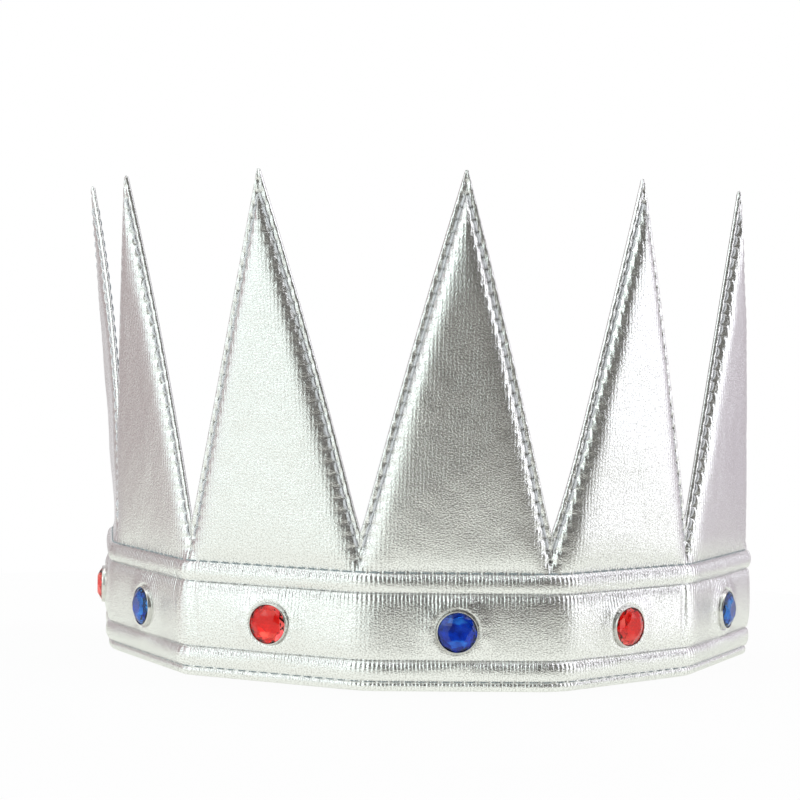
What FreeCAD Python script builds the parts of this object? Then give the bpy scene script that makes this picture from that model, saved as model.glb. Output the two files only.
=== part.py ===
# A padded costume crown: a stitched front band with six upright points, a riveted stone
# under each point, and an elastic strap that closes the band behind the head.
# Millimetres and degrees. +Z is up, the front of the crown faces -Y, and the origin is the
# middle of the crown's outer box at the height it stands on.

import math
import os

import FreeCAD
import Part
from FreeCAD import Placement, Rotation, Vector

UP = Vector(0, 0, 1)

# Plan of the band, from its left end to its right end

PANEL = 48.2                                    # band length that carries one point
VALLEY_BEND = (22.6, 35.7, 28.3, 35.7, 22.6)    # turn of the band at each valley
BEND_RUN = 16.0                                 # band length that each turn is spread over
POINTS = len(VALLEY_BEND) + 1
BAND_LENGTH = POINTS * PANEL

# Heights of the stitched grooves, and of the points

HEM_GROOVE = 2.6
LOWER_GROOVE = 8.0
UPPER_GROOVE = 25.1
POINT_GROOVE = 30.4
VALLEY_HEIGHT = 40.5                            # bottom of the open V between two points
TIP_HEIGHT = 132.5
TIP_WIDTH = 1.2
EDGE_BULGE = 0.5                                # how far a point's edge bows out at mid height
POINT_LEAN = (9.5, 10.3, 11.5, 9.4, 5.6, 5.3)   # how far each tip stands out from the band
POINT_SWAY = (0.2, 0.0, -0.9, 0.0, -0.3, 0.1)   # how far each tip is off its panel's middle

# Layers of the wall, from the head outwards

LINING = 0.6
FOAM = 2.4
SKIN = 0.6
WALL = LINING + FOAM + SKIN
GROOVE_DEPTH = 0.6                              # how far the stitching pulls a groove in
GROOVE_FACE = WALL - GROOVE_DEPTH
HEM_RISE = 0.4
RIB_RISE = 1.2
BAND_RISE = 1.0
BAND_SHOULDER = 2.4                             # height of the round edge of the stone band
BAND_FACE = GROOVE_FACE + BAND_RISE
FLANGE = 2.2                                    # flat sewn edge round each padded point
FOAM_INSET = FLANGE + SKIN
END_HEM = 1.0
SIDE_LAP = 0.4                                  # how far two neighbouring panels run together

# Stones, cups and rivets

STONE_DROP = 0.9                                # stones sit just below the middle of their band
STONE_HEIGHT = (LOWER_GROOVE + UPPER_GROOVE) / 2 - STONE_DROP
STONE_SHIFT = (0.0, 2.0, 0.4, 0.4, -0.6, 0.0)    # how far each stone is off its panel's middle
STONE_RADIUS = 5.1
STONE_GIRDLE = 1.3                              # height of the stone's upright edge
STONE_TOP = 2.9                                 # height of its flat top facet
FACETS = 8
MAIN_SLOPE = 35.0
STAR_SLOPE = 16.0
STAR_START = 3.4                                # radius where the upper ring of facets begins
STONE_CLEARANCE = 0.05
CUP_FLOOR = 0.4
CUP_RIM = 0.65
CUP_DEPTH = 1.8
CUP_BEVEL = 0.25
CUP_RADIUS = STONE_RADIUS + STONE_CLEARANCE + CUP_RIM
POST_RADIUS = 1.3
POST_BORE = 0.7
POST_BORE_DEPTH = 2.0
POST_REACH = 0.9                                # length of the post inside its cap
POST_HOLE_CLEARANCE = 0.1
SOCKET_CLEARANCE = 0.02
SOCKET_DEPTH = 1.0
CAP_RADIUS = 4.0
CAP_EDGE = 0.4
CAP_DOME = 1.5
CAP_FLAT = 1.0                                  # radius of the flat middle of the dome
STONE_COLOURS = ("red", "blue")                 # they take turns from the left

# Elastic strap

STRAP_WIDTH = 15.0
STRAP_THICKNESS = 1.2
STRAP_BOTTOM = 3.0
STRAP_LAP = 12.0                                # length sewn flat inside each end of the band
STRAP_LEAD = 2.0
STRAP_CORNER = 12.0                             # radius of the strap's turn behind each end
STRAP_BOW = 20.0                                # how far it curves on its way across


class Course:
    """A run of straights and arcs seen from above. Lengths are measured from its first end,
    and offsets to the right of its direction, which is the outside of the crown."""

    def __init__(self, start, heading, runs):
        self.runs = []
        length = 0.0
        for run, turn in runs:
            self.runs.append((length, run, turn, start, heading))
            start = self.advance(start, heading, run, turn)
            heading += turn
            length += run
        self.length = length

    @staticmethod
    def advance(start, heading, run, turn):
        """The place reached after a run that turns evenly by the given angle."""
        half_turn = math.radians(turn) / 2
        chord = run if turn == 0 else run * math.sin(half_turn) / half_turn
        direction = math.radians(heading) + half_turn
        return start + Vector(chord * math.cos(direction), chord * math.sin(direction), 0)

    def frame(self, length):
        """Axes at a length along the course: x outwards, y along the course, z up."""
        run_start, run, turn, start, heading = [
            piece for piece in self.runs if piece[0] <= length or piece[0] == 0][-1]
        done = length - run_start
        here = self.advance(start, heading, done, turn * done / run)
        return Placement(here, Rotation(UP, heading + turn * done / run - 90))

    def point(self, length, offset):
        return self.frame(length).multVec(Vector(offset, 0, 0))

    def edges(self, offset, first, last):
        """The lines and arcs that run beside the course between two lengths."""
        edges = []
        for run_start, run, turn, _, _ in self.runs:
            low, high = max(first, run_start), min(last, run_start + run)
            if high - low < 1e-6:
                continue
            ends = self.point(low, offset), self.point(high, offset)
            if turn == 0:
                edges.append(Part.LineSegment(*ends).toShape())
            else:
                middle = self.point((low + high) / 2, offset)
                edges.append(Part.Arc(ends[0], middle, ends[1]).toShape())
        return edges

    def strip(self, inner, outer, first, last):
        """A flat face between two offsets of the course."""
        ends = [Part.LineSegment(self.point(at, inner), self.point(at, outer)).toShape()
                for at in (first, last)]
        sides = self.edges(inner, first, last) + self.edges(outer, first, last)
        return Part.Face(Part.Wire(Part.sortEdges(sides + ends)[0]))

    def sweep(self, section, first, last):
        """A solid whose section, drawn with x outwards and z up, follows the course."""
        pieces = []
        for run_start, run, turn, _, _ in self.runs:
            low, high = max(first, run_start), min(last, run_start + run)
            if high - low < 1e-6:
                continue
            face = section.copy()
            face.Placement = self.frame(low)
            if turn == 0:
                pieces.append(face.extrude(self.point(high, 0) - self.point(low, 0)))
            else:
                centre = self.point(low, -run / math.radians(turn))
                pieces.append(face.revolve(centre, UP, turn * (high - low) / run))
        return pieces[0].fuse(pieces[1:]).removeSplitter()


def polygon(corners):
    return Part.Face(Part.makePolygon(corners + corners[:1]))


# Plan courses of the band and of the strap

def band_course():
    """Straight panels joined by turns, spread evenly to the left and right of the middle."""
    straight = PANEL - BEND_RUN
    runs = [(straight + BEND_RUN / 2, 0)]
    for bend in VALLEY_BEND:
        runs += [(BEND_RUN, bend), (straight, 0)]
    runs[-1] = (straight + BEND_RUN / 2, 0)
    heading = -sum(VALLEY_BEND) / 2
    span = Course(Vector(), heading, runs).point(BAND_LENGTH, 0).x
    return Course(Vector(-span / 2, 0, 0), heading, runs)


def strap_course(band):
    """From inside the left end of the band, round behind the head, to inside the right end."""
    heading = 180 - sum(VALLEY_BEND) / 2
    corner_turn = STRAP_BOW / 2 - heading
    corner = (abs(math.radians(corner_turn)) * STRAP_CORNER, corner_turn)
    start = band.point(STRAP_LAP, 0)
    sewn = (STRAP_LAP + STRAP_LEAD, 0)
    turned = Course(start, heading, [sewn, corner])
    span = -2 * turned.point(turned.length, 0).x
    half_bow = math.radians(STRAP_BOW / 2)
    across = (span * half_bow / math.sin(half_bow), -STRAP_BOW)
    return Course(start, heading, [sewn, corner, across, corner, sewn])


# Section of the band

def rib(foot, top, face, rise):
    """A round rib between two grooves."""
    return [Part.Arc(Vector(face, 0, foot), Vector(face + rise, 0, (foot + top) / 2),
                     Vector(face, 0, top)).toShape()]


def cushion(foot, top, face, rise, shoulder):
    """A flat band with round shoulders between two grooves."""
    radius = (rise ** 2 + shoulder ** 2) / (2 * rise)
    half = math.asin(shoulder / radius) / 2
    rounded = Vector(radius * math.cos(half), 0, radius * math.sin(half))
    low, high = foot + shoulder, top - shoulder
    centre = face + rise - radius
    return [
        Part.Arc(Vector(face, 0, foot), Vector(centre + rounded.x, 0, low - rounded.z),
                 Vector(face + rise, 0, low)).toShape(),
        Part.LineSegment(Vector(face + rise, 0, low), Vector(face + rise, 0, high)).toShape(),
        Part.Arc(Vector(face + rise, 0, high), Vector(centre + rounded.x, 0, high + rounded.z),
                 Vector(face, 0, top)).toShape(),
    ]


def band_section(face):
    """The band outside the lining, with its outer face at the given depth in the grooves."""
    contour = (rib(0, HEM_GROOVE, face, HEM_RISE)
               + rib(HEM_GROOVE, LOWER_GROOVE, face, RIB_RISE)
               + cushion(LOWER_GROOVE, UPPER_GROOVE, face, BAND_RISE, BAND_SHOULDER)
               + rib(UPPER_GROOVE, POINT_GROOVE, face, RIB_RISE))
    back = Part.makePolygon([Vector(face, 0, POINT_GROOVE), Vector(LINING, 0, POINT_GROOVE),
                             Vector(LINING, 0, 0), Vector(face, 0, 0)])
    return Part.Face(Part.Wire(contour + back.Edges))


def foam_section():
    """The foam in the band: the same section one skin smaller, closed at foot and top."""
    foot, top = SKIN, POINT_GROOVE - SKIN
    window = polygon([Vector(0, 0, foot), Vector(2 * WALL, 0, foot),
                      Vector(2 * WALL, 0, top), Vector(0, 0, top)])
    return band_section(GROOVE_FACE - SKIN).common(window).Faces[0]


# Points

def point_outline(sway, inset):
    """One point seen square on, with y along the band, drawn a given inset inside its edge."""
    corner = Vector(0, PANEL / 2, VALLEY_HEIGHT)
    tip = Vector(0, TIP_WIDTH / 2, TIP_HEIGHT)
    edge = tip - corner
    outwards = Vector(0, edge.z, -edge.y).normalize()
    slope = -edge.y / edge.z
    shoulder = corner - outwards * inset
    right = [
        shoulder + Vector(0, slope, -1) * (shoulder.z - POINT_GROOVE),
        shoulder,
        (corner + tip) / 2 + outwards * (EDGE_BULGE - inset),
        tip - Vector(0, 0, inset / slope * math.hypot(1, slope)),
    ]
    left = [Vector(0, -place.y, place.z) for place in right]
    for side in (left, right):
        side[-1].y += sway
    sides = [(Part.LineSegment(side[0], side[1]).toShape(),
              Part.Arc(side[1], side[2], side[3]).toShape()) for side in (left, right)]
    top = Part.LineSegment(left[3], right[3]).toShape()
    base = Part.LineSegment(left[0], right[0]).toShape()
    return Part.Face(Part.Wire(Part.sortEdges([*sides[0], *sides[1], top, base])[0]))


def point_layer(band, index, inner, outer, inset, lift=0.0):
    """One layer of a point, which starts the given lift above its groove: a leaning strip of
    the wall, trimmed to the point's outline."""
    middle = band.frame((index + 0.5) * PANEL)
    first = max(0, index * PANEL - SIDE_LAP)
    last = min(BAND_LENGTH, (index + 1) * PANEL + SIDE_LAP)
    rise = TIP_HEIGHT - POINT_GROOVE
    lean = middle.Rotation.multVec(Vector(POINT_LEAN[index], POINT_SWAY[index], rise))
    strip = band.strip(inner, outer, first, last)
    strip.translate(UP * POINT_GROOVE + lean * (lift / rise))
    trim = point_outline(POINT_SWAY[index], inset)
    trim.translate(Vector(-PANEL, 0, 0))
    trim = trim.extrude(Vector(2 * PANEL, 0, 0))
    trim.Placement = middle.multiply(trim.Placement)
    return strip.extrude(lean * (1 - lift / rise)).common(trim)


# Stone, cup and cap of one rivet, drawn with z away from the crown

def facet_ring(radius, height, slope, twist):
    """Blocks that cut one ring of facets, each passing the given radius and height."""
    size = 4 * STONE_RADIUS
    blocks = []
    for index in range(FACETS):
        block = Part.makeBox(size, size, size, Vector(-size / 2, -size / 2, 0))
        block.rotate(Vector(), Vector(0, 1, 0), slope)
        block.translate(Vector(radius, 0, height))
        block.rotate(Vector(), UP, (index + twist) * 360 / FACETS)
        blocks.append(block)
    return blocks


def make_stone():
    blank = Part.makeCylinder(STONE_RADIUS, STONE_TOP, Vector(0, 0, CUP_FLOOR))
    ridge = STONE_RADIUS - STAR_START * math.cos(math.pi / FACETS)
    star_height = STONE_GIRDLE + ridge * math.tan(math.radians(MAIN_SLOPE))
    main = facet_ring(STONE_RADIUS, CUP_FLOOR + STONE_GIRDLE, MAIN_SLOPE, 0)
    star = facet_ring(STAR_START, CUP_FLOOR + star_height, STAR_SLOPE, 0.5)
    return blank.cut(main + star)


def make_cup():
    """A cup with a hollow post that runs through the wall into the cap."""
    inner = CUP_RADIUS - CUP_RIM
    end = -BAND_FACE - POST_REACH
    hollow = Part.makeCylinder(inner, CUP_DEPTH, Vector(0, 0, CUP_FLOOR))
    cup = Part.makeCylinder(CUP_RADIUS, CUP_DEPTH).cut(hollow)
    rim = [edge for edge in cup.Edges
           if len(edge.Vertexes) == 1 and edge.Vertexes[0].Z > CUP_DEPTH - 1e-6]
    cup = cup.makeChamfer(CUP_BEVEL, rim)
    post = Part.makeCylinder(POST_RADIUS, -end, Vector(0, 0, end))
    bore = Part.makeCylinder(POST_BORE, POST_BORE_DEPTH, Vector(0, 0, end))
    return cup.fuse(post).cut(bore).removeSplitter()


def make_cap():
    """A domed cap inside the crown, with a socket that holds the end of the post."""
    base = -BAND_FACE
    depth = ((CAP_RADIUS ** 2 - CAP_FLAT ** 2 + CAP_EDGE ** 2 - CAP_DOME ** 2)
             / (2 * (CAP_DOME - CAP_EDGE)))
    blank = Part.makeCylinder(CAP_RADIUS, CAP_DOME, Vector(0, 0, base - CAP_DOME))
    dome = Part.makeSphere(math.hypot(CAP_RADIUS, CAP_EDGE + depth), Vector(0, 0, base + depth))
    socket = Part.makeCylinder(POST_RADIUS + SOCKET_CLEARANCE, SOCKET_DEPTH,
                               Vector(0, 0, base - SOCKET_DEPTH))
    return blank.common(dome).cut(socket)


# The crown

band = band_course()
places = []
for index in range(POINTS):
    place = band.frame((index + 0.5) * PANEL + STONE_SHIFT[index])
    place = place.multiply(Placement(Vector(BAND_FACE, 0, STONE_HEIGHT), Rotation(Vector(0, 1, 0), 90)))
    places.append(place)

holes = []
for place in places:
    hole = Part.makeCylinder(POST_RADIUS + POST_HOLE_CLEARANCE, 4 * WALL, Vector(0, 0, -2 * WALL))
    hole.Placement = place.multiply(hole.Placement)
    holes.append(hole)

flanges = [point_layer(band, index, LINING, LINING + SKIN, 0) for index in range(POINTS)]
pillows = [point_layer(band, index, LINING, WALL, FLANGE) for index in range(POINTS)]
outside = band.sweep(band_section(GROOVE_FACE), 0, BAND_LENGTH).fuse(flanges + pillows)

pressed = GROOVE_FACE - SKIN        # outer face of the foam where the stitching presses it
padding = []
for index in range(POINTS):
    neck = band.strip(LINING, pressed, index * PANEL + FOAM_INSET, (index + 1) * PANEL - FOAM_INSET)
    neck.translate(UP * (POINT_GROOVE - SKIN))
    padding.append(neck.extrude(UP * SKIN))
    padding.append(point_layer(band, index, LINING, pressed, FOAM_INSET))
    padding.append(point_layer(band, index, LINING, LINING + FOAM, FOAM_INSET, SKIN))
foam = band.sweep(foam_section(), END_HEM, BAND_LENGTH - END_HEM).fuse(padding)

inside = band.strip(0, LINING, 0, BAND_LENGTH).extrude(UP * POINT_GROOVE)
inside = inside.fuse([point_layer(band, index, 0, LINING, 0) for index in range(POINTS)])

strap = strap_course(band)
strap_strip = strap.strip(0, STRAP_THICKNESS, 0, strap.length)
strap_strip.translate(UP * STRAP_BOTTOM)

parts = {
    "front_fabric": outside.cut([foam, inside] + holes),
    "foam_core": foam.cut(holes),
    "lining_fabric": inside.cut(holes),
    "elastic_strap": strap_strip.extrude(UP * STRAP_WIDTH),
}

patterns = {"stone": make_stone(), "cup": make_cup(), "cap": make_cap()}
for index, place in enumerate(places):
    number = index + 1
    colour = STONE_COLOURS[index % len(STONE_COLOURS)]
    names = {"stone": f"stone_{number}_{colour}", "cup": f"stone_cup_{number}",
             "cap": f"rivet_cap_{number}"}
    for kind, name in names.items():
        piece = patterns[kind].copy()
        piece.Placement = place.multiply(piece.Placement)
        parts[name] = piece

# Put the origin under the middle of the crown's outer box, and write the parts

box = Part.makeCompound(list(parts.values())).optimalBoundingBox(False)
centre = Vector(box.Center.x, box.Center.y, 0)
os.makedirs("parts", exist_ok=True)
for name, shape in parts.items():
    shape.translate(-centre)
    shape.exportStep(f"parts/{name}.step")
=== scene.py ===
"""The looks of a padded costume crown: quilted silver fabric, topstitching, riveted stones,
lining and elastic strap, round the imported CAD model. Plan sizes are in millimetres and
degrees, as in the CAD source, and become metres when a mesh is made."""

import math

import bpy
import numpy as np
from mathutils import Matrix, Vector


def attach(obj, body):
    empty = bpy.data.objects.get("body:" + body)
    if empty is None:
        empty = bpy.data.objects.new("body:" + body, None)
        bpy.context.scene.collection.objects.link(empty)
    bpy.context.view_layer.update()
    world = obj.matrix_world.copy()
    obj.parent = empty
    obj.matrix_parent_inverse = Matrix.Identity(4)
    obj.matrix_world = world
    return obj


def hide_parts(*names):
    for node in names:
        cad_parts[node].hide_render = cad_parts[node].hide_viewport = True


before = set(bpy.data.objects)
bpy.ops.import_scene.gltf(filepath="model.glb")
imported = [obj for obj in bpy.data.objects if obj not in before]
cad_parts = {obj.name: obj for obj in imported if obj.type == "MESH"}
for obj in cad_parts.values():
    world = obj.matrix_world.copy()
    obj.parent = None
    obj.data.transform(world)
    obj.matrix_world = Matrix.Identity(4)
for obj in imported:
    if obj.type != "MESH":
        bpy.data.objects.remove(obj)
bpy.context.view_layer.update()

MM = 0.001
rng = np.random.default_rng(11)


# Plan of the band: the same course as in the CAD source, with a crease at each valley

PANEL = 48.2
BEND_RUN = 16.0
TURNS = (22.6, 35.7, 28.3, 35.7, 22.6)
CREASES = (11.0, 3.2, 12.0, 12.0, 6.0)      # how much of each bend the fabric's fold takes
SHIFTS = (0.0, 0.0, 1.6, 1.8, 0.0)          # how far each fold lies from the middle of its bend
LENGTH = 6 * PANEL
START = (-92.7825, 38.998)                  # the band's left end, in the frame's plan
HALF_TURN = sum(TURNS) / 2

GROOVES = (2.6, 8.0, 25.1, 30.4)
BAND_TOP = GROOVES[-1]
VALLEY = 40.5
TIP = 132.5
TIP_HALF = 0.3
LEAN = (9.5, 10.3, 11.5, 9.4, 5.6, 5.3)     # how far each tip leans out
CURL = (-1.4, -0.5, -1.0, 0.5, 0.6, 0.2)    # how far each point hangs forward at mid height
SWAY = (0.2, 0.0, -0.9, 0.0, -0.3, 0.1)     # how far each tip stands aside of its panel's middle
TWIST = (-10.0, -7.0, -5.0, 4.0, 0.0, 4.0)  # how far each tip turns about the point's height
BULGES = (0.8, 0.0, 0.3, 0.6, 0.2, -0.4)    # how far each point's edges bow outwards
STONE_SHIFT = (0.0, 2.0, 0.4, 0.4, -0.6, 0.0)   # how far each stone is off its panel's middle
STONE_Z = 15.65
STITCH = 3.2                                # length of one stitch with its gap
SEAM = 1.7                                  # from a point's edge to its stitch line
FLANGE_OUT = 1.2
GROOVE_OUT = 2.75
PILLOWS = (0.9, 1.9, 2.6, 2.75, 2.75, 2.4)  # how far each point's padding swells
BLEND_FROM = 15.0                           # two points share their lean from here to the valley,
BLEND_OVER, BLEND_RUN = 6.0, 8.0            # below this height over it, coming in over this run
END_ROUND = 1.6                             # how far in the band's ends close to their edge


def ease(x):
    x = np.clip(x, 0, 1)
    return x * x * (3 - 2 * x)


def make_plan():
    step = 0.05
    s = np.arange(0, LENGTH + step / 2, step)
    heading = np.full(s.shape, -HALF_TURN)
    stretch = np.ones(s.shape)
    for k, (turn, crease, shift) in enumerate(zip(TURNS, CREASES, SHIFTS)):
        u = s - (k + 1) * PANEL
        share = ease((u - shift) / crease + 0.5)
        heading += turn * share
        inside = np.abs(u) < BEND_RUN / 2
        half = math.radians(turn) / 2
        chord = BEND_RUN * math.sin(half) / half
        advance = np.cos(np.radians(turn * (share - 0.5)))[inside].sum() * step
        stretch[inside] = chord / advance
    a = np.radians(heading)
    dx, dy = stretch * np.cos(a), stretch * np.sin(a)
    x = START[0] + np.concatenate([[0], np.cumsum((dx[1:] + dx[:-1]) / 2)]) * step
    y = START[1] + np.concatenate([[0], np.cumsum((dy[1:] + dy[:-1]) / 2)]) * step
    return s, x, y, a


PLAN = make_plan()


def along(s):
    """Place on the inner face of the wall, and the outward and forward directions there."""
    x, y, a = (np.interp(s, PLAN[0], column) for column in PLAN[1:])
    outward = np.stack([np.sin(a), -np.cos(a)], -1)
    forward = np.stack([np.cos(a), np.sin(a)], -1)
    return np.stack([x, y], -1), outward, forward


def wall(s, z, out):
    """A place on the band, from its length along the band, height and depth outwards."""
    s, z, out = np.broadcast_arrays(np.asarray(s, float), z, out)
    base, outward, _ = along(s)
    flat = base + outward * out[..., None]
    return np.concatenate([flat, z[..., None]], -1)


def lean_of(index, k, t=0.0):
    """How far a point's wall has moved at a share k of its height, t off the panel's middle."""
    _, outward, forward = along(np.array((index + 0.5) * PANEL))
    turn = math.radians(TWIST[index]) * k
    away = LEAN[index] * k + CURL[index] * 4 * k * (1 - k) + t * np.sin(turn)
    aside = SWAY[index] * k + t * (np.cos(turn) - 1)
    return away[..., None] * outward + aside[..., None] * forward


def point_wall(index, t, z, out):
    """A place on one point, from its distance t off the panel's middle, height and depth."""
    t, z, out = np.broadcast_arrays(np.asarray(t, float), z, out)
    k = np.clip((z - BAND_TOP) / (TIP - BAND_TOP), 0, 1)
    shift = lean_of(index, k, t)
    low = ease((VALLEY + BLEND_OVER - z) / BLEND_RUN)
    for side, other in ((-1, index - 1), (1, index + 1)):
        if 0 <= other <= 5:
            share = 0.5 * ease((side * t - BLEND_FROM) / (PANEL / 2 - BLEND_FROM)) * low
            share = share[..., None]
            shift = shift * (1 - share) + lean_of(other, k, t - side * PANEL) * share
    place = wall((index + 0.5) * PANEL + t, z, out)
    place[..., :2] += shift
    return place


EDGE_SLOPE = (TIP_HALF - PANEL / 2) / (TIP - VALLEY)


def edge_of(index, z):
    """Half width of a point at a height."""
    u = np.clip((z - VALLEY) / (TIP - VALLEY), 0, 1)
    return PANEL / 2 + (TIP_HALF - PANEL / 2) * u + 4 * BULGES[index] * u * (1 - u)


def seam_of(index, z):
    """Half width of a point's stitch line, which runs straight on down into the valley."""
    u = np.clip((z - VALLEY) / (TIP - VALLEY), 0, 1)
    edge = PANEL / 2 + EDGE_SLOPE * (z - VALLEY) + 4 * BULGES[index] * u * (1 - u)
    return np.maximum(edge - SEAM, 0)


def rounded_end(distance):
    """Share of the depth near an end of the band, from none at the edge to all of it."""
    return np.sqrt(np.clip(1 - (1 - np.clip(distance / END_ROUND, 0, 1)) ** 2, 0, 1))


def waves(u, v, size, count=12):
    """Soft seeded unevenness of about unit height, with features of about the given size."""
    total = np.zeros(np.broadcast(u, v).shape)
    for _ in range(count):
        angle, phase = rng.uniform(0, 2 * math.pi, 2)
        rate = 2 * math.pi / size * rng.uniform(0.6, 1.4)
        total += np.sin(rate * (u * math.cos(angle) + v * math.sin(angle)) + phase)
    return total / math.sqrt(count / 2)


# Mesh making

def new_object(name, mesh, body="root"):
    item = bpy.data.objects.new(name, mesh)
    bpy.context.scene.collection.objects.link(item)
    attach(item, body)
    return item


def mesh_of(name, places, faces, cloth=None, press=None, smooth=True):
    mesh = bpy.data.meshes.new(name)
    mesh.from_pydata((np.asarray(places) * MM).tolist(), [], [list(f) for f in faces])
    if cloth is not None:
        corner = np.empty(len(mesh.loops), np.int32)
        mesh.loops.foreach_get("vertex_index", corner)
        layer = mesh.uv_layers.new(name="cloth")
        layer.data.foreach_set("uv", np.asarray(cloth, np.float32)[corner].ravel())
    if press is not None:
        field = mesh.attributes.new("press", "FLOAT", "POINT")
        field.data.foreach_set("value", np.asarray(press, np.float32))
    if smooth:
        mesh.shade_smooth()
    mesh.update()
    return mesh


def grid_faces(rows, cols, first=0):
    at = first + np.arange(rows * cols).reshape(rows, cols)
    quads = np.stack([at[:-1, :-1], at[:-1, 1:], at[1:, 1:], at[1:, :-1]], -1)
    return quads.reshape(-1, 4).tolist()


def grid_mesh(name, grids):
    """One mesh from grids of (places, cloth coordinates, press)."""
    places, cloth, press, faces = [], [], [], []
    for grid, coordinates, pressed in grids:
        rows, cols = grid.shape[:2]
        faces += grid_faces(rows, cols, sum(len(p) for p in places))
        places.append(grid.reshape(-1, 3))
        cloth.append(coordinates.reshape(-1, 2))
        press.append(np.broadcast_to(pressed, grid.shape[:2]).reshape(-1))
    return mesh_of(name, np.concatenate(places), faces, np.concatenate(cloth), np.concatenate(press))


# Band cover

def section_rows():
    """The band's section from inside the hem, round its foot and up over the ribs."""
    hem = [(0.0, 1.5), (0.04, 0.9), (0.25, 0.4), (0.7, 0.1), (1.3, 0.0), (1.95, 0.0), (2.5, 0.1),
           (2.95, 0.38), (3.25, 0.8), (3.38, 1.25), (3.38, 1.7), (3.22, 2.12), (2.98, 2.42)]
    rows = [list(p) for p in hem]
    ribs = ((1.55, 0.9, 16), (1.5, 0.5, 44), (1.55, 0.9, 16))
    for low, high, (rise, power, count) in zip(GROOVES[:-1], GROOVES[1:], ribs):
        for n in range(count):
            x = math.pi * n / count
            rows.append([GROOVE_OUT + rise * math.sin(x) ** power,
                         low + (high - low) * (1 - math.cos(x)) / 2])
    rows.append([GROOVE_OUT, BAND_TOP])
    return np.array(rows)


def stone_at(index):
    return (index + 0.5) * PANEL + STONE_SHIFT[index]


PUCKER = 0.07                       # height of the puckers along a groove
UNEVEN, FINE_UNEVEN = 0.10, 0.02    # height of the soft unevenness of padded cloth
SWELL, SWELL_AT, SWELL_WIDTH = 0.75, 6.2, 3.0       # the cushion raised round each stone
GATHER, GATHER_AT, GATHER_WIDTH = 0.05, 7.6, 1.4    # the small folds that run out from a stone
SEAT_OUT, SEAT_RADIUS, SEAT_RUN = 3.9, 5.75, 0.5    # the cloth drawn in under a stone's rim


def band_out(s, z, out):
    """The band's depth with its puckers, unevenness and the hollow round each stone."""
    body = np.clip((out - GROOVE_OUT) / 1.5, 0, 1)
    for groove in GROOVES:
        below = np.where(z < groove, np.exp(-(groove - z) / 1.5), 0.45 * np.exp(-(z - groove) / 0.9))
        phase = 2 * math.pi * s / STITCH
        pucker = np.cos(phase) * 0.5 + 0.5 * np.sin(2 * phase + 1.3 * np.sin(s * 0.37 + groove))
        out = out + PUCKER * below * pucker * (out > 1.5)
    out = out + (UNEVEN * waves(s, z * 1.5, 30) + FINE_UNEVEN * waves(s, z, 9)) * body
    for index in range(6):
        ds, dz = s - stone_at(index), z - STONE_Z
        r = np.hypot(ds, dz)
        angle = np.arctan2(dz, ds)
        out = out + SWELL * np.exp(-((r - SWELL_AT) / SWELL_WIDTH) ** 2)
        gather = np.cos(13 * angle + index) * np.exp(-((r - GATHER_AT) / GATHER_WIDTH) ** 2)
        out = out + GATHER * gather
        out = out + (SEAT_OUT - out) * ease((SEAT_RADIUS - r) / SEAT_RUN)
    return out


CREASE_DEPTHS = (0.10, 0.22, 0.05, 0.08, 0.20)


def crease_lines(s, z):
    """Small folds that fall from each valley through the band."""
    total = np.zeros(np.broadcast(s, z).shape)
    for k, depth in enumerate(CREASE_DEPTHS):
        at = (k + 1) * PANEL
        for _ in range(3):
            shift, slant, width, reach = rng.uniform((-3.0, -0.12, 0.5, 5.0), (3.0, 0.12, 1.2, 14.0))
            middle = rng.uniform(8, 28)
            d = s - at - shift - slant * (z - 17)
            total -= depth * np.exp(-(d / width) ** 2) * np.exp(-((z - middle) / reach) ** 2)
    return total


BAND_COLUMNS = 723
HEM_LIFT, HEM_LIFT_RUN = 2.2, 9.0   # the hem's left corner is lifted a little
PRESS_BELOW, PRESS_RUN = 1.2, 1.6   # where the cloth is pressed into ribs, below each groove


def make_band():
    rows = section_rows()
    close_rows = np.array([0.12, 0.35, 0.7])
    s = np.sort(np.concatenate([np.linspace(0, LENGTH, BAND_COLUMNS), close_rows, LENGTH - close_rows]))
    S, Z = np.meshgrid(s, rows[:, 1])
    out = np.broadcast_to(rows[:, :1], S.shape)
    shaped = band_out(S, Z, out)
    creased = shaped + crease_lines(S, Z) * np.clip((out - GROOVE_OUT) / 0.8, 0, 1)
    shaped = np.where(Z > 2.7, creased, shaped)
    shaped = np.where(rows[:, :1] < 2.6, out, shaped) * rounded_end(np.minimum(s, LENGTH - s))
    Z = Z + HEM_LIFT * np.exp(-S / HEM_LIFT_RUN) * np.clip(1 - Z / HEM_LIFT_RUN, 0, 1)
    length = np.concatenate([[0], np.cumsum(np.hypot(*np.diff(rows, axis=0).T))])
    cloth = np.stack([S, np.broadcast_to(length[:, None], S.shape)], -1)
    press = sum(np.exp(-np.abs(Z - groove + PRESS_BELOW) / PRESS_RUN) for groove in GROOVES)
    return grid_mesh("band_cover", [(wall(S, Z, shaped), cloth, np.clip(press, 0, 1))])


# Points

def point_rows():
    fine = np.arange(BAND_TOP, BAND_TOP + 3, 0.25)
    return np.concatenate([fine, np.linspace(BAND_TOP + 3, TIP, 252)])


def seam_distance(index, t, z):
    """Distance inside the stitch line, and the length along that line, for a place on a point."""
    gap = seam_of(index, z) - np.abs(t)
    steep = 1 + EDGE_SLOPE ** 2
    return gap / math.sqrt(steep), (z - gap * EDGE_SLOPE / steep - BAND_TOP) * math.sqrt(steep)


LINE_SINK, HOLE_SINK = 0.16, 0.60       # depth of the stitch line and of its needle holes
BEAD_RISE, FLANGE_RISE = 0.36, 0.20     # swell between holes, inside the line and on the flange
BASE_FOLD, BASE_FOLD_SIZE = 0.05, 2.1   # the small folds along a point's foot


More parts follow.
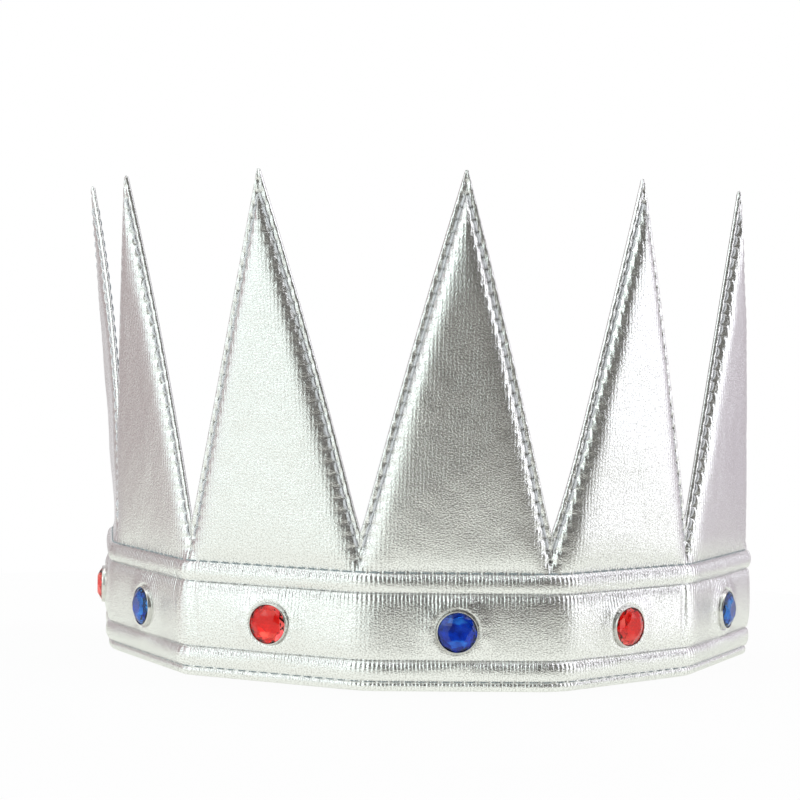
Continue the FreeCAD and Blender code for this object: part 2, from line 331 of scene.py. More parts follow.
def sewn_down(z):
    """Depth of the sewn edge, which rises to the groove at a point's foot."""
    return FLANGE_OUT + (GROOVE_OUT - FLANGE_OUT) * np.exp(-(z - BAND_TOP) / 1.8)


def point_out(index, t, z):
    """Depth of a point's front face: flat sewn edge, stitch line, puckers and pillow."""
    d, run = seam_distance(index, t, z)
    above = z - BAND_TOP
    inside = np.clip(d, 0, None)
    foot = 1 - np.exp(-above / 2.2)
    narrow = np.clip(seam_of(index, z) / 7, 0, 1) ** 0.5
    fill = (1 - np.exp(-inside / (0.95 + 0.05 * seam_of(index, z)))) * foot
    out = sewn_down(z) + PILLOWS[index] * fill * (0.35 + 0.65 * narrow)
    phase = math.pi * run / STITCH
    bead = np.abs(np.sin(phase)) ** 0.8
    hole = np.cos(phase) ** 10
    out -= LINE_SINK * np.exp(-(d / 0.40) ** 2)
    out -= HOLE_SINK * hole * np.exp(-(d / 0.50) ** 2)
    out += BEAD_RISE * (bead - 0.6) * np.exp(-((inside - 0.9) / 1.0) ** 2) * (d > 0) * foot
    out += FLANGE_RISE * (bead - 0.6) * np.exp(-((d + 0.85) / 0.5) ** 2) * (d <= 0)
    out += (UNEVEN * waves(t, z, 30) + FINE_UNEVEN * waves(t * 1.2, z, 8)) * fill
    fold = 2 * math.pi * (t + 0.6 * np.sin(t * 0.8)) / BASE_FOLD_SIZE
    out += BASE_FOLD * np.sin(fold + index) * np.exp(-((above - 1.0) / 1.2) ** 2)
    return out


def point_columns(half, count=44, close=10.0):
    """Distances from the edge to the middle, finest at the edge."""
    x = np.linspace(0, 1, count)
    near = np.minimum(half, close)[:, None]
    return near * x + (half[:, None] - near) * x ** 3


def across_point(half, e):
    """Distances off the panel's middle, from the left edge to the right one."""
    return np.concatenate([e - half[:, None], (half[:, None] - e)[:, -2::-1]], 1)


EDGE_DROP, EDGE_ROUND = 0.35, 0.5   # how the front face rounds over at a cut edge
RIM = ((0.10, 0.62), (0.12, 0.38), (0.04, 0.16), (-0.3, 0.02))  # turned edge: growth and depth
CAP_SHARE, CAP_OUT, CAP_RISE = 0.35, 0.55, 0.12     # the last row, which closes the tip


def make_point(index):
    z = point_rows()
    half = edge_of(index, z)
    t = across_point(half, point_columns(half))
    Z = np.broadcast_to(z[:, None], t.shape)
    out = point_out(index, t, Z)
    near_edge = np.clip((half[:, None] - np.abs(t)) / EDGE_ROUND, 0, 1)
    open_edge = ease((Z - VALLEY + 1) / 2)
    out = out - open_edge * EDGE_DROP * (1 - np.sqrt(1 - (1 - near_edge) ** 2))
    rim_t = np.stack([half + grow * open_edge[:, 0] for grow, _ in RIM], 1)
    rim_out = np.stack([np.full(z.shape, depth) for _, depth in RIM], 1)
    t = np.concatenate([-rim_t[:, ::-1], t, rim_t], 1)
    out = np.concatenate([rim_out[:, ::-1], out, rim_out], 1)
    Z = np.broadcast_to(z[:, None], t.shape)
    if index == 0:
        out = np.where(t < END_ROUND - PANEL / 2, out * rounded_end(t + PANEL / 2), out)
    t = np.concatenate([t, t[-1:] * CAP_SHARE])
    out = np.concatenate([out, np.full((1, out.shape[1]), CAP_OUT)])
    Z = np.concatenate([Z, np.full((1, Z.shape[1]), TIP + CAP_RISE)])
    cloth = np.stack([t + (index + 0.5) * PANEL, Z + 20], -1)
    to_seam, _ = seam_distance(index, t, Z)
    press = np.exp(-np.abs(Z - BAND_TOP) / 2.0) + 0.6 * np.exp(-np.abs(to_seam) / 1.5)
    grid = (point_wall(index, t, Z, out), cloth, np.clip(press, 0, 1))
    return grid_mesh(f"point_cover_{index + 1}", [grid])


# Stitches

def tube(path, radii, outward, sides=6):
    """A closed tube round a path, as places and faces."""
    tangent = np.gradient(path, axis=0)
    tangent /= np.linalg.norm(tangent, axis=1)[:, None]
    side = np.cross(tangent, outward)
    side /= np.linalg.norm(side, axis=1)[:, None]
    up = np.cross(side, tangent)
    angles = np.arange(sides) * 2 * math.pi / sides
    circle = np.cos(angles)[None, :, None] * side[:, None] + np.sin(angles)[None, :, None] * up[:, None]
    places = (path[:, None] + circle * radii[:, None, None]).reshape(-1, 3)
    faces = []
    for row in range(len(path) - 1):
        for n in range(sides):
            a, b = row * sides + n, row * sides + (n + 1) % sides
            faces.append([a, b, b + sides, a + sides])
    faces.append(list(range(sides))[::-1])
    faces.append([(len(path) - 1) * sides + n for n in range(sides)])
    return places, faces


THREAD_RADIUS = 0.31
STITCH_GAP = 0.4
STITCH_STEPS = 7
STITCH_SHAPE = np.linspace(0, 1, STITCH_STEPS)
STITCH_LIFT = np.sin(math.pi * STITCH_SHAPE) ** 0.6
STITCH_TAPER = 0.45 + 0.55 * np.sin(math.pi * np.linspace(0.06, 0.94, STITCH_STEPS)) ** 0.5


def stitches(place, length, first, sink, rise):
    """Stitches along a seam. place(run, out shift) gives places and outward directions."""
    places, faces, count = [], [], 0
    for start in np.arange(first, length - STITCH, STITCH):
        run = start + STITCH_GAP / 2 + (STITCH - STITCH_GAP) * STITCH_SHAPE + rng.uniform(-0.04, 0.04)
        path, outward = place(run, sink + (rise - sink) * STITCH_LIFT)
        more, new = tube(path, THREAD_RADIUS * STITCH_TAPER, outward)
        faces += [[f + count for f in face] for face in new]
        places.append(more)
        count += len(more)
    return places, faces, count


def merge(parts):
    """The places and faces of several runs of stitches as one."""
    places, faces, count = [], [], 0
    for more, new, size in parts:
        places += more
        faces += [[f + count for f in face] for face in new]
        count += size
    return np.concatenate(places), faces


INSIDE_OUT = -0.12      # the lining's face along a stitch line
SEAM_END = 4.5          # the stitch lines stop this far below a tip


def level_outward(s):
    """Outward directions at places along the band, as three-part vectors."""
    _, outward, _ = along(s)
    return np.concatenate([outward, np.zeros((len(s), 1))], 1)


def groove_place(z, back):
    """The course of a groove's stitches, as the place function that stitches() asks for."""
    def place(run, shift):
        if back:
            return wall(run, z, INSIDE_OUT - shift), -level_outward(run)
        return wall(run, z, GROOVE_OUT + shift), level_outward(run)
    return place


def seam_place(index, side, back):
    """The course of the stitches up one side of a point, with its end and its first stitch."""
    heights = np.arange(VALLEY + SEAM / EDGE_SLOPE, TIP - SEAM_END, 0.2)
    half = seam_of(index, heights)
    run_at = (heights - BAND_TOP) * math.sqrt(1 + EDGE_SLOPE ** 2)

    def place(run, shift):
        z = np.interp(run, run_at, heights)
        t = side * np.interp(run, run_at, half)
        outward = level_outward((index + 0.5) * PANEL + t)
        if back:
            return point_wall(index, t, z, INSIDE_OUT - shift), -outward
        return point_wall(index, t, z, sewn_down(z) - 0.1 + shift), outward
    return place, run_at[-1], math.ceil(run_at[0] / STITCH) * STITCH


# Lining

LINING_PUFF = 0.40          # how far the band's lining stands in from the wall
LINING_DRAW = 0.26          # how far a stitch line draws it back
RIVET_FLAT, RIVET_FLAT_RUN = 6.5, 2.0  # flat round a rivet cap, coming in over this run
LINING_INSET = 0.2          # from the lining's edge to the point's edge
LINING_WAVE = 14.0


def band_lining():
    s = np.linspace(0, LENGTH, 290)
    z = np.concatenate([[1.3], np.linspace(2.0, BAND_TOP, 30)])
    S, Z = np.meshgrid(s, z)
    out = np.full(S.shape, -LINING_PUFF)
    for groove in GROOVES:
        near = np.exp(-((Z - groove) / 0.8) ** 2)
        out = out + near * (LINING_DRAW + 0.10 * np.cos(2 * math.pi * S / STITCH))
    out = out + 0.08 * waves(S, Z, LINING_WAVE)
    for index in range(6):
        r = np.hypot(S - stone_at(index), Z - STONE_Z)
        out = out - out * ease((RIVET_FLAT - r) / RIVET_FLAT_RUN)
    out[0] = -0.02
    return wall(S, Z, out), np.stack([S, Z], -1), 0.0


def point_lining(index):
    z = np.linspace(BAND_TOP, TIP - 0.4, 128)
    half = edge_of(index, z) - LINING_INSET
    t = across_point(half, point_columns(half, 18, 8.0))
    Z = np.broadcast_to(z[:, None], t.shape)
    d, run = seam_distance(index, t, Z)
    puff = (1 - np.exp(-np.clip(d, 0, None) / 2.2)) * (1 - np.exp(-(Z - BAND_TOP) / 2))
    out = -0.04 - 0.34 * puff
    out = out + 0.08 * np.exp(-(d / 0.6) ** 2) * np.cos(2 * math.pi * run / STITCH)
    out = out - 0.048 * np.exp(BAND_TOP - Z) + 0.07 * waves(t, Z, LINING_WAVE) * (d > 1)
    return point_wall(index, t, Z, out), np.stack([t + (index + 0.5) * PANEL, Z], -1), 0.0


def make_lining():
    mesh = grid_mesh("lining_inside", [band_lining()] + [point_lining(index) for index in range(6)])
    mesh.flip_normals()
    return mesh


# Elastic strap: the same course as in the CAD source

STRAP_LAP = 12.0            # how far each end is lapped inside the band
STRAP_STRAIGHT = 14.0       # from each end to its corner
STRAP_CORNER = 12.0         # radius of the corners
STRAP_BOW = 10.0            # how far the middle turns each way, in degrees
STRAP_MIDDLE = 10.5         # height of its centre line
STRAP_WIDTH, STRAP_THICK = 15.0, 1.1
STRAP_ROWS, STRAP_AROUND = 560, 64


def strap_table():
    """The strap's course: lengths, places and headings."""
    heading = 180 - HALF_TURN
    corner_turn = STRAP_BOW - heading
    corner = abs(math.radians(corner_turn)) * STRAP_CORNER
    base, _, _ = along(np.array(STRAP_LAP))
    step = 0.1

    def trace(runs):
        turns, lengths = [], []
        for run, turn in runs:
            n = max(2, int(run / step))
            turns += [turn / n] * n
            lengths += [run / n] * n
        a = np.radians(heading + np.concatenate([[0], np.cumsum(turns)]))
        mid = (a[1:] + a[:-1]) / 2
        x = base[0] + np.concatenate([[0], np.cumsum(np.cos(mid) * lengths)])
        y = base[1] + np.concatenate([[0], np.cumsum(np.sin(mid) * lengths)])
        return np.concatenate([[0], np.cumsum(lengths)]), x, y, a

    lead = [(STRAP_STRAIGHT, 0.0), (corner, corner_turn)]
    span = -2 * (trace(lead)[1][-1] - (PLAN[1][0] + PLAN[1][-1]) / 2)
    half = math.radians(STRAP_BOW)
    across = (span * half / math.sin(half), -2 * STRAP_BOW)
    return trace(lead + [across] + lead[::-1])


def make_strap():
    s, x, y, a = strap_table()
    run = np.linspace(0, s[-1], STRAP_ROWS)
    px, py, pa = (np.interp(run, s, c) for c in (x, y, a))
    outward = np.stack([np.sin(pa), -np.cos(pa)], -1)
    around = np.linspace(0, 2 * math.pi, STRAP_AROUND + 1)[:-1]
    height = np.sign(np.cos(around)) * np.abs(np.cos(around)) ** 0.7 * STRAP_WIDTH / 2
    thick = np.sign(np.sin(around)) * np.abs(np.sin(around)) ** 0.35 * STRAP_THICK / 2
    R, N = np.meshgrid(run, np.arange(STRAP_AROUND), indexing="ij")
    held = STRAP_LAP + 4
    loose = ease((R - held) / 12) * ease((s[-1] - held - R) / 12)
    ripple = (0.10 * np.sin(R * 2.1 + 0.6 * np.sin(R * 0.31)) + 0.25 * waves(R, R * 0, 60)) * loose
    narrower = 1 - 0.012 * np.sin(R * 0.9) * loose
    H = STRAP_MIDDLE + height[N] * narrower + 0.15 * waves(R, R * 0, 40) * loose
    T = 0.6 + thick[N] + ripple
    P = np.stack([px[:, None] + outward[:, :1] * T, py[:, None] + outward[:, 1:] * T, H], -1)
    rows, cols = P.shape[:2]
    faces = []
    for r in range(0, (rows - 1) * cols, cols):
        for c in range(cols):
            n = (c + 1) % cols
            faces.append([r + n, r + cols + n, r + cols + c, r + c])
    faces.append(list(range(cols)))
    faces.append([(rows - 1) * cols + c for c in reversed(range(cols))])
    cloth = np.stack([R, H + 30 * (thick[N] > 0)], -1).reshape(-1, 2)
    return mesh_of("elastic_band", P.reshape(-1, 3), faces, cloth, np.zeros(rows * cols))


# Stones

STONE_OUT = 4.0     # depth of a stone's own origin, just over the cloth


def stone_matrix(index):
    base, outward, forward = along(np.array(stone_at(index)))
    axes = Matrix((Vector((*forward, 0)), Vector((0, 0, 1)), Vector((*outward, 0))))
    centre = Vector((*(base + outward * STONE_OUT), STONE_Z)) * MM
    return Matrix.Translation(centre) @ axes.transposed().to_4x4()


def ring(radius, height, count, turn=0.0):
    angles = (np.arange(count) + turn) * 2 * math.pi / count
    return [(radius * math.cos(a), radius * math.sin(a), height) for a in angles]


# Radius, height, count and turn of the corners round the table, the star facets, the two
# edges of the girdle and the back, and then the middle of the back
STONE_RINGS = ((2.6, 3.0, 8, 0.5), (3.95, 2.35, 8, 0.0), (5.05, 1.5, 16, 0.0), (5.05, 1.2, 16, 0.0),
               (3.3, 0.62, 8, 0.5))
STONE_BACK = (0, 0, 0.56)


def stone_mesh(name, turn):
    """A brilliant-cut stone: table, star, kite and girdle facets over a shallow back."""
    places = [place for row in STONE_RINGS for place in ring(*row)] + [STONE_BACK]
    table, star, girdle, under, back, centre = 0, 8, 16, 32, 48, 56
    faces = [[table + k for k in range(8)]]
    for k in range(8):
        k1 = (k + 1) % 8
        middle, far = 2 * k + 1, (2 * k + 2) % 16
        faces.append([table + k, star + k1, table + k1])
        faces.append([star + k, girdle + middle, star + k1, table + k])
        faces.append([star + k, girdle + 2 * k, girdle + middle])
        faces.append([star + k1, girdle + middle, girdle + far])
        faces.append([back + k, back + k1, under + far])
        faces.append([back + k, under + far, under + middle])
        faces.append([back + k, under + middle, under + 2 * k])
        faces.append([centre, back + k1, back + k])
    for k in range(16):
        k1 = (k + 1) % 16
        faces.append([girdle + k, under + k, under + k1, girdle + k1])
    mesh = mesh_of(name, places, faces, smooth=False)
    mesh.transform(Matrix.Rotation(turn, 4, "Z"))
    return mesh


def ring_faces(rows, count):
    """Quads between rings of count places, one ring after another."""
    return [[r + k, r + (k + 1) % count, r + count + (k + 1) % count, r + count + k]
            for r in range(0, (rows - 1) * count, count) for k in range(count)]


def foil_mesh(name):
    """The mirror foil behind a stone: creased near the edge, with a roof-shaped middle."""
    creased = [(x, y, (0.35, 0.95)[k % 2]) for k, (x, y, _) in enumerate(ring(4.2, 0, 16))]
    roof = [(x, y, 0.38 + 0.11 * abs(y)) for x, y, _ in ring(3.4, 0, 16)]
    slopes = [list(range(32, 41)), list(range(40, 48)) + [32]]
    return mesh_of(name, ring(5.0, 1.1, 16) + creased + roof, ring_faces(3, 16) + slopes, smooth=False)


BEZEL_SECTION = ((5.1, -0.1), (5.5, -0.1), (5.52, 0.1), (5.48, 0.5), (5.42, 0.9), (5.36, 1.3), (5.31, 1.52),
                 (5.27, 1.66), (5.22, 1.73), (5.16, 1.75), (5.11, 1.70), (5.08, 1.55), (5.06, 1.0))
BEZEL_SIDES = 48


def bezel_mesh(name):
    """A thin rim turned from a section of (radius, height) points."""
    places = [place for radius, height in BEZEL_SECTION for place in ring(radius, height, BEZEL_SIDES)]
    return mesh_of(name, places, ring_faces(len(BEZEL_SECTION), BEZEL_SIDES))


# Materials

def node(tree, kind, inputs=None, **settings):
    made = tree.nodes.new(kind)
    for key, value in settings.items():
        setattr(made, key, value)
    for key, value in (inputs or {}).items():
        socket = made.inputs[key]
        if hasattr(value, "is_output"):
            tree.links.new(value, socket)
        else:
            socket.default_value = value
    return made


def math_node(tree, operation, *values, clamp=False):
    made = tree.nodes.new("ShaderNodeMath")
    made.operation = operation
    made.use_clamp = clamp
    for socket, value in zip(made.inputs, values):
        if hasattr(value, "is_output"):
            tree.links.new(value, socket)
        else:
            socket.default_value = value
    return made.outputs[0]


def ramp(tree, factor, stops):
    made = tree.nodes.new("ShaderNodeValToRGB")
    bar = made.color_ramp
    while len(bar.elements) < len(stops):
        bar.elements.new(0.5)
    for element, (position, colour) in zip(bar.elements, stops):
        element.position = position
        element.color = (*colour, 1)
    tree.links.new(factor, made.inputs[0])
    return made.outputs[0]


def new_material(name, **sockets):
    made = bpy.data.materials.new(name)
    made.use_nodes = True
    shader = made.node_tree.nodes["Principled BSDF"]
    for key, value in sockets.items():
        shader.inputs[key.replace("_", " ")].default_value = value
    return made, made.node_tree, shader


def colour_by(tree, shader, factor, low, high, span=(0.3, 0.7), socket="Base Color"):
    """Give a socket of the shader a colour that follows a factor."""
    tone = ramp(tree, factor, ((span[0], low), (span[1], high)))
    tree.links.new(tone, shader.inputs[socket])


def bump_by(tree, shader, height, strength, distance):
    bump = node(tree, "ShaderNodeBump", {"Height": height, "Strength": strength, "Distance": distance})
    tree.links.new(bump.outputs[0], shader.inputs["Normal"])


def noise(tree, where, scale, detail, **more):
    settings = {"Vector": where, "Scale": scale, "Detail": detail, **more}
    return node(tree, "ShaderNodeTexNoise", settings).outputs["Fac"]


def lines(tree, axis, spacing):
    """Even waves along an axis of the cloth, by their spacing in millimetres."""
    return math_node(tree, "SINE", math_node(tree, "MULTIPLY", axis, 2 * math.pi / spacing))


def cloth_axes(tree):
    where = node(tree, "ShaderNodeUVMap", uv_map="cloth").outputs[0]
    parts = node(tree, "ShaderNodeSeparateXYZ", {0: where})
    return where, parts.outputs[0], parts.outputs[1]


RIB_SPACING = 0.97


def silver_fabric():
    made, tree, shader = new_material("silver_fabric", Metallic=1.0)
    where, along_band, _ = cloth_axes(tree)
    press = node(tree, "ShaderNodeAttribute", attribute_name="press").outputs["Fac"]
    wander = math_node(tree, "MULTIPLY", noise(tree, where, 0.22, 2.0), 3.2)
    turns = math_node(tree, "MULTIPLY", along_band, 2 * math.pi / RIB_SPACING)
    rib = math_node(tree, "SINE", math_node(tree, "ADD", turns, wander))
    patch = math_node(tree, "MULTIPLY_ADD", noise(tree, where, 0.11, 3.0), 1.6, -0.45, clamp=True)
    pressed = math_node(tree, "MULTIPLY", press, 1.5)
    strength = math_node(tree, "ADD", pressed, math_node(tree, "MULTIPLY_ADD", patch, 0.45, 0.12))
    rib = math_node(tree, "MULTIPLY", rib, strength)
    crease = noise(tree, where, 2.5, 2.0, Roughness=0.6, Distortion=0.4)
    cells = node(tree, "ShaderNodeTexVoronoi", {"Vector": where, "Scale": 1.9}, feature="F1")
    cells = cells.outputs["Distance"]
    grain = math_node(tree, "MULTIPLY_ADD", cells, 0.3, math_node(tree, "MULTIPLY", crease, 2.1))
    bump_by(tree, shader, math_node(tree, "MULTIPLY_ADD", rib, 0.5, grain), 1.0, 0.00007)
    # Base colour darker in the hollows of the crinkle noise that also draws the bump: painted shade.
    colour_by(tree, shader, crease, (0.74, 0.735, 0.73), (0.96, 0.96, 0.965), (0.40, 0.52))
    colour_by(tree, shader, cells, (0.17,) * 3, (0.12,) * 3, (0.1, 0.8), "Roughness")
    return made


def lining_cloth():
    made, tree, shader = new_material("lining_cloth", Roughness=0.82, Sheen_Weight=0.25, Sheen_Roughness=0.5)
    where, across, up = cloth_axes(tree)
    weave = math_node(tree, "MULTIPLY", lines(tree, across, 0.42), lines(tree, up, 0.46))
    slub = noise(tree, where, 0.6, 3.0)
    bump_by(tree, shader, math_node(tree, "MULTIPLY_ADD", weave, 0.5, slub), 0.8, 0.00008)
    colour_by(tree, shader, slub, (0.66, 0.66, 0.67), (0.80, 0.80, 0.81))
    return made


def elastic_cloth():
    made, tree, shader = new_material("elastic_weave", Roughness=0.75, Sheen_Weight=0.2, Sheen_Roughness=0.4)
    where, along_band, up = cloth_axes(tree)
    cords = math_node(tree, "ABSOLUTE", lines(tree, up, 0.9))
    picks = lines(tree, along_band, 0.7)
    bump_by(tree, shader, math_node(tree, "MULTIPLY_ADD", picks, 0.35, cords), 0.9, 0.00012)
    colour_by(tree, shader, noise(tree, where, 0.25, 3.0), (0.74, 0.74, 0.75), (0.86, 0.86, 0.87))
    return made


def position(tree):
    return node(tree, "ShaderNodeNewGeometry").outputs["Position"]


def thread(name, dark, light):
    made, tree, shader = new_material(name, Roughness=0.42, Sheen_Weight=0.3)
    twist = node(tree, "ShaderNodeTexWave", {"Vector": position(tree), "Scale": 900.0, "Distortion": 1.5},
                 bands_direction="DIAGONAL").outputs["Fac"]
    bump_by(tree, shader, twist, 0.6, 0.00004)
    # Colour darker in the hollows of the twist that the bump draws: painted shade.
    colour_by(tree, shader, twist, dark, light, (0.2, 0.8))
    return made


def nickel():
    made, tree, shader = new_material("nickel", Metallic=1.0)
    wear = noise(tree, position(tree), 700.0, 4.0)
    colour_by(tree, shader, wear, (0.66, 0.65, 0.63), (0.80, 0.79, 0.77))
    colour_by(tree, shader, wear, (0.10,) * 3, (0.24,) * 3, (0.35, 0.75), "Roughness")
    bump_by(tree, shader, wear, 0.25, 0.00003)
    return made


def stone_material(name, deep, reflection_tone):
    made, tree, shader = new_material(name, Roughness=0.03, IOR=1.5, Transmission_Weight=1.0)
    # Brighter and dimmer patches in the stone's colour stand in for light reflected inside it: painted
    # reflection.
    colour_by(tree, shader, noise(tree, position(tree), 350.0, 1.0), deep, reflection_tone, (0.35, 0.65))
    return made


def foil_material(name, colour):
    made, tree, shader = new_material(name, Metallic=1.0, Roughness=0.09)
    darker = tuple(c * 0.8 for c in colour)
    colour_by(tree, shader, noise(tree, position(tree), 500.0, 2.0), darker, colour)
    return made


# Make the pieces

silver, lining, elastic, metal = silver_fabric(), lining_cloth(), elastic_cloth(), nickel()
# Each thread's two colours span the painted shade in the hollows of its twist.
yarn = thread("thread", (0.68, 0.69, 0.73), (0.90, 0.91, 0.94))
# The same light thread, coloured dark to paint the shade it lies in, down the grooves and inside the lining:
# painted shade.
shaded_yarn = thread("thread_in_painted_shade", (0.20, 0.25, 0.27), (0.40, 0.46, 0.49))


def dress(item, material):
    item.data.materials.clear()
    item.data.materials.append(material)
    return item


band = dress(new_object("band_cover", make_band()), silver)
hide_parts("front_fabric", "foam_core")
for index in range(6):
    cover = dress(new_object(f"point_cover_{index + 1}", make_point(index)), silver)

inside = dress(new_object("lining_inside", make_lining()), lining)
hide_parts("lining_fabric")

strap = dress(new_object("elastic_band", make_strap()), elastic)
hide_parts("elastic_strap")
float(strap_table()[0][-1]) * MM

FIRST_STITCH, FIRST_BACK, STAGGER = 1.8, 3.4, 0.3   # where the grooves' stitches start, and how
SEAM_STOP = LENGTH - 1.5                            # far each groove's are behind the last
GROOVE_SINK, GROOVE_RISE, GROOVE_BACK = -0.3, 0.04, 0.2     # depths of a stitch's ends, and of
SEAM_SINK, SEAM_RISE, SEAM_BACK = -0.25, 0.34, 0.12         # its middle in front and behind

groove_seams, back_seams, front_seams = [], [], []
for n, z in enumerate(GROOVES):
    first = FIRST_STITCH + STAGGER * n
    groove_seams.append(stitches(groove_place(z, False), SEAM_STOP, first, GROOVE_SINK, GROOVE_RISE))
for n, z in enumerate(GROOVES):
    first = FIRST_BACK + STAGGER * n
    back_seams.append(stitches(groove_place(z, True), SEAM_STOP, first, GROOVE_SINK, GROOVE_BACK))
for index in range(6):
    for side in (-1, 1):
        place, length, first = seam_place(index, side, False)
        front_seams.append(stitches(place, length, first, SEAM_SINK, SEAM_RISE))
        place, length, first = seam_place(index, side, True)
        back_seams.append(stitches(place, length, first, SEAM_SINK, SEAM_BACK))
for name, seams, used in (("groove_stitching", groove_seams, shaded_yarn),
                          ("topstitching", front_seams, yarn),
                          ("inside_stitching", back_seams, shaded_yarn)):
    dress(new_object(name, mesh_of(name, *merge(seams))), used)

# The first colour of each stone's pair is its dimmer tone, the second the brighter one of painted
# reflection.
COLOURS = {
    "red": (stone_material("red_stone", (0.85, 0.06, 0.07), (0.97, 0.15, 0.12)),
            foil_material("red_foil", (0.95, 0.5, 0.4))),
    "blue": (stone_material("blue_stone", (0.008, 0.085, 0.42), (0.04, 0.29, 0.80)),
             foil_material("blue_foil", (0.5, 0.65, 0.95))),
}


def seat(name, mesh, index, material):
    """Put a stone's piece, made about its own origin, in its place on the band."""
    mesh.transform(stone_matrix(index))
    return dress(new_object(name, mesh), material)


for index in range(6):
    number = index + 1
    colour = ("red", "blue")[index % 2]
    clear, foil = COLOURS[colour]
    name = f"cut_stone_{number}"
    stone = seat(name, stone_mesh(name, rng.uniform(0, 0.7)), index, clear)
    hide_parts(f"stone_{number}_{colour}")
    name = f"stone_foil_{number}"
    seat(name, foil_mesh(name), index, foil)
    name = f"bezel_{number}"
    bezel = seat(name, bezel_mesh(name), index, metal)
    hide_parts(f"stone_cup_{number}")
    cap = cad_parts[f"rivet_cap_{number}"]
    cap.data.materials.clear()
    cap.data.materials.append(metal)


# Stage: a pale floor, a white surround, and the dark side of the studio round the camera

def stage_mesh(name, places, faces, material, **visible):
    mesh = bpy.data.meshes.new(name)
    mesh.from_pydata(places, [], faces)
    mesh.materials.append(material)
    item = bpy.data.objects.new(name, mesh)
    bpy.context.scene.collection.objects.link(item)
    for key, value in visible.items():
        setattr(item, f"visible_{key}", value)


FLOOR_GLOW = 0.94       # share of plain white that these rays see; the rest takes the shadow
FLOOR_RADIUS, FLOOR_MIDDLE, FLOOR_DROP = 0.33, -0.12, 0.0002


def floor_material():
    made, tree, shader = new_material("pale_floor", Roughness=0.9)
    shader.inputs["Base Color"].default_value = (0.86, 0.86, 0.87, 1)
    rays = node(tree, "ShaderNodeLightPath")
    seen = math_node(tree, "MAXIMUM", rays.outputs["Is Camera Ray"], rays.outputs["Is Glossy Ray"])
    seen = math_node(tree, "MAXIMUM", seen, rays.outputs["Is Transmission Ray"])
    share = math_node(tree, "MULTIPLY", seen, FLOOR_GLOW)
    tint = node(tree, "ShaderNodeMix", {"Factor": rays.outputs["Is Glossy Ray"]}, data_type="RGBA")
    tint.inputs[6].default_value = (1, 1, 1, 1)
    tint.inputs[7].default_value = (0.93, 0.96, 0.88, 1)
    glow = node(tree, "ShaderNodeEmission", {"Color": tint.outputs[2], "Strength": 1.0})
    mixed = node(tree, "ShaderNodeMixShader", {0: share, 1: shader.outputs[0], 2: glow.outputs[0]})
    tree.links.new(mixed.outputs[0], tree.nodes["Material Output"].inputs[0])
    return made


def glow_material(name, colour):
    made = bpy.data.materials.new(name)
    made.use_nodes = True
    tree = made.node_tree
    glow = node(tree, "ShaderNodeEmission", {"Color": (*colour, 1), "Strength": 1.0})
    tree.links.new(glow.outputs[0], tree.nodes["Material Output"].inputs[0])
    return made


disc = [(x, y + FLOOR_MIDDLE, z) for x, y, z in ring(FLOOR_RADIUS, -FLOOR_DROP, 64)]
stage_mesh("floor", disc, [list(range(len(disc)))], floor_material())


def dark_studio(name, low, high):
    """Soft dark and paler shapes for the fabric to mirror."""
    made = glow_material(name, low)
    tree = made.node_tree
    tone = ramp(tree, noise(tree, position(tree), 26.0, 2.0), ((0.42, low), (0.60, high)))
    tree.links.new(tone, tree.nodes["Emission"].inputs["Color"])
    return made


DARK = dark_studio("dark_studio", (0.022, 0.020, 0.020), (0.32, 0.315, 0.29))
TABLE = dark_studio("dark_table", (0.12, 0.117, 0.104), (0.64, 0.635, 0.585))
CARD_FROM, CARD_TO, CARD_STEPS = math.radians(-2), math.radians(76), 13
CARD_RADIUS, CARD_HEIGHT = 0.42, 0.62
TABLE_START, TABLE_HEIGHT = 0.15, 0.001


def curved_strip(name, ends, material):
    """A strip round the camera's side of the crown that only the mirror-like surfaces see.
    ends are the (radius, height) of its two edges."""
    turns = np.linspace(CARD_FROM, CARD_TO, CARD_STEPS + 1)
    places = [(r * math.sin(a), -r * math.cos(a), z) for a in turns for r, z in ends]
    faces = [[2 * k, 2 * k + 2, 2 * k + 3, 2 * k + 1] for k in range(CARD_STEPS)]
    stage_mesh(name, places, faces, material, camera=False, diffuse=False, transmission=False, shadow=False)


curved_strip("dark_card", ((CARD_RADIUS, 0.0), (CARD_RADIUS, CARD_HEIGHT)), DARK)
curved_strip("dark_table", ((TABLE_START, TABLE_HEIGHT), (CARD_RADIUS, TABLE_HEIGHT)), TABLE)

# What the crown mirrors round it, by degrees from the front towards the right
AROUND = (
    (-180, (0.95, 0.96, 0.96)), (-155, (0.80, 0.79, 0.80)), (-125, (0.46, 0.395, 0.39)),
    (-98, (0.50, 0.43, 0.425)), (-80, (0.98, 1.0, 1.01)), (-55, (1.0, 1.12, 1.08)),
    (-15, (0.99, 1.12, 1.06)), (2, (0.45, 0.44, 0.42)), (70, (0.42, 0.41, 0.40)),
    (82, (1.70, 1.73, 1.76)), (107, (1.70, 1.73, 1.78)), (124, (0.60, 0.55, 0.60)),
    (150, (0.56, 0.50, 0.545)), (180, (0.95, 0.96, 0.96)),
)


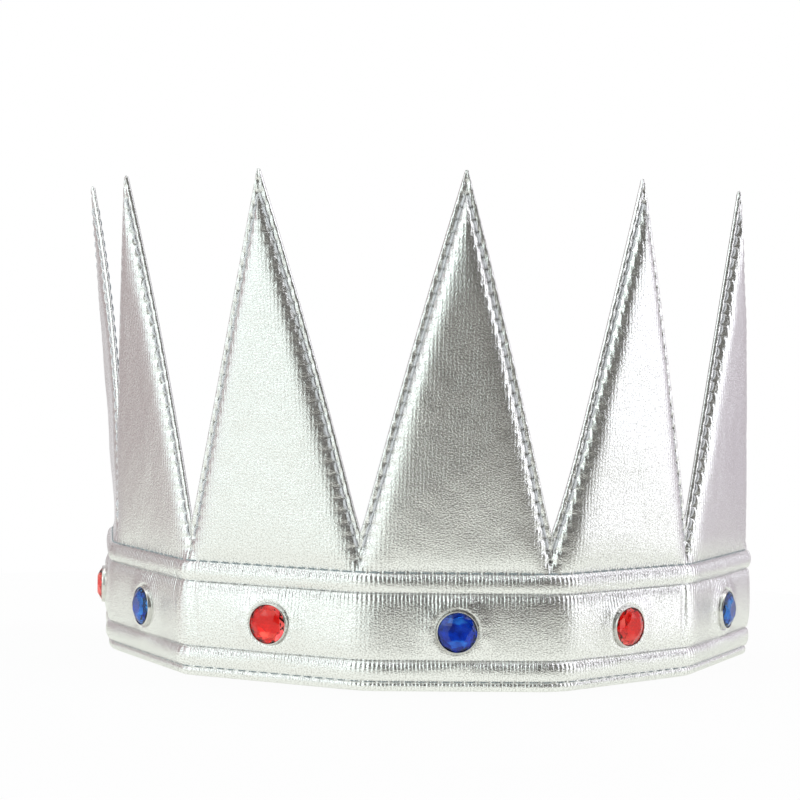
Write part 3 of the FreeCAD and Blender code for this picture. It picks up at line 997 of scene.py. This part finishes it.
def make_world():
    """White for the camera and through the stones, and AROUND for reflections and light."""
    world = bpy.data.worlds.new("studio")
    bpy.context.scene.world = world
    world.use_nodes = True
    tree = world.node_tree
    tree.nodes.clear()
    way = node(tree, "ShaderNodeSeparateXYZ", {0: node(tree, "ShaderNodeTexCoord").outputs["Generated"]})
    turn = math_node(tree, "ARCTAN2", way.outputs[0], math_node(tree, "MULTIPLY", way.outputs[1], -1.0))
    turn = math_node(tree, "MULTIPLY_ADD", turn, 0.5 / math.pi, 0.5)
    sky = ramp(tree, turn, [((degrees + 180) / 360, colour) for degrees, colour in AROUND])
    rays = node(tree, "ShaderNodeLightPath")
    seen = math_node(tree, "MAXIMUM", rays.outputs["Is Camera Ray"], rays.outputs["Is Transmission Ray"])
    surround = node(tree, "ShaderNodeBackground", {"Color": sky, "Strength": 1.0})
    white = node(tree, "ShaderNodeBackground", {"Color": (1, 1, 1, 1), "Strength": 1.0})
    both = node(tree, "ShaderNodeMixShader", {0: seen, 1: surround.outputs[0], 2: white.outputs[0]})
    tree.links.new(both.outputs[0], node(tree, "ShaderNodeOutputWorld").inputs[0])


make_world()


def lamp(name, place, target, size, power):
    light = bpy.data.lights.new(name, "AREA")
    light.shape = "RECTANGLE"
    light.size, light.size_y = size
    light.energy = power
    item = bpy.data.objects.new(name, light)
    item.location = place
    item.rotation_mode = "QUATERNION"
    item.rotation_quaternion = (Vector(target) - Vector(place)).to_track_quat("-Z", "Y")
    bpy.context.scene.collection.objects.link(item)


lamp("soft_left", (-0.62, -0.85, 0.55), (0, 0, 0.05), (0.5, 0.7), 1.1)
lamp("soft_top", (0.0, 0.1, 1.1), (0, 0, 0.05), (0.9, 0.9), 2.4)


# Camera, from a fit to the photograph's grooves, stones and tips

YAW = math.radians(-9.887)
SIDE = -9.151
DISTANCE, EYE = 554.8, 93.27
PITCH, ROLL = math.radians(1.949), math.radians(1.077)
FOCAL, PHOTO_WIDTH = 2173.7, 800     # in pixels
SENSOR = 36


def make_camera():
    middle, _, _ = along(np.array(LENGTH / 2))
    back = Matrix.Rotation(-YAW, 3, "Z")
    right = Vector((1, 0, 0))
    forward = Vector((0, math.cos(PITCH), -math.sin(PITCH)))
    up = Vector((0, math.sin(PITCH), math.cos(PITCH)))
    tilted_right = right * math.cos(ROLL) + up * math.sin(ROLL)
    tilted_up = up * math.cos(ROLL) - right * math.sin(ROLL)
    axes = [back @ v for v in (tilted_right, tilted_up, -forward)]
    place = Vector((*middle, 0)) + back @ Vector((-SIDE, -DISTANCE, EYE))
    data = bpy.data.cameras.new("camera")
    data.sensor_width = SENSOR
    data.lens = FOCAL / PHOTO_WIDTH * SENSOR
    data.clip_start, data.clip_end = 0.01, 20
    item = bpy.data.objects.new("camera", data)
    bpy.context.scene.collection.objects.link(item)
    item.matrix_world = Matrix.Translation(place * MM) @ Matrix(axes).transposed().to_4x4()
    bpy.context.scene.camera = item


make_camera()
bpy.context.scene.view_settings.view_transform = "Standard"
